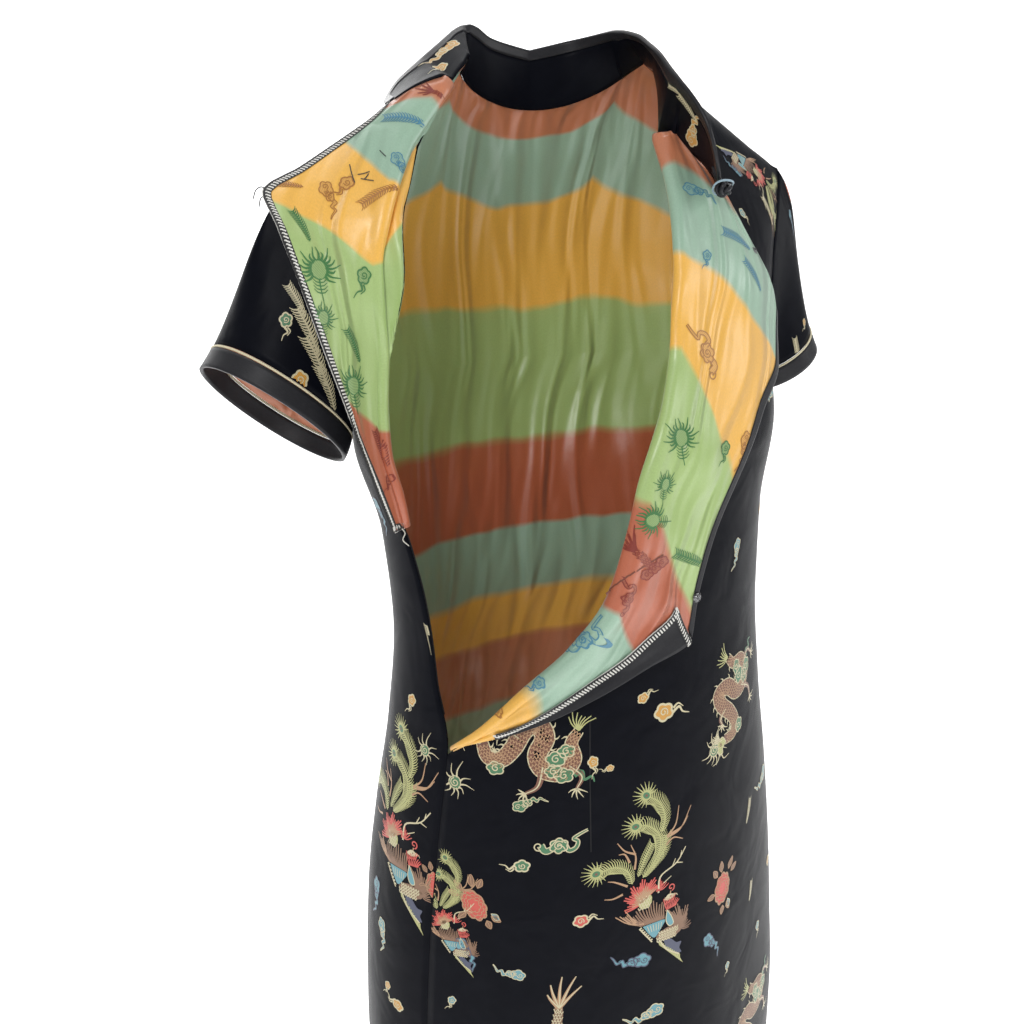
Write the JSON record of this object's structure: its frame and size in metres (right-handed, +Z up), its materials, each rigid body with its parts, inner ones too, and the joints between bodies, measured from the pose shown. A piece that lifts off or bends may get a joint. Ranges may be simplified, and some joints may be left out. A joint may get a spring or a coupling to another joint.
{
  "type": "cheongsam dress",
  "caption": "Short-sleeved black brocade cheongsam, worn and unfastened, its right front folded open to show the coloured reverse.",
  "frame": {"origin": "midway between the neck ends of the two shoulder seams", "axes": "+Z up, -Y the way the wearer faces, +X the wearer's left"},
  "size_m": [0.5245, 0.2653, 1.0858],
  "materials": {
    "front_brocade": "satin",
    "underlap_brocade": "satin",
    "back_brocade": "satin",
    "sleeve_brocade": "satin",
    "collar_brocade": "satin",
    "black_satin": "satin",
    "cream_piping": "satin",
    "stud_metal": "satin"
  },
  "bodies": {
    "root": {"front_panel": "front_brocade", "underlap": "underlap_brocade", "back_panel": "back_brocade", "sleeve_left": "sleeve_brocade", "sleeve_right": "sleeve_brocade", "sleeve_binding_left": "black_satin", "sleeve_binding_right": "black_satin", "sleeve_piping_left": "cream_piping", "sleeve_piping_right": "cream_piping", "collar": "collar_brocade", "collar_binding": "black_satin", "front_edge_binding": "black_satin", "front_side_facing": "black_satin", "back_side_facing": "black_satin", "knot_button": "black_satin", "press_stud_neck": "stud_metal", "press_stud_corner": "stud_metal"}
  },
  "joints": []
}
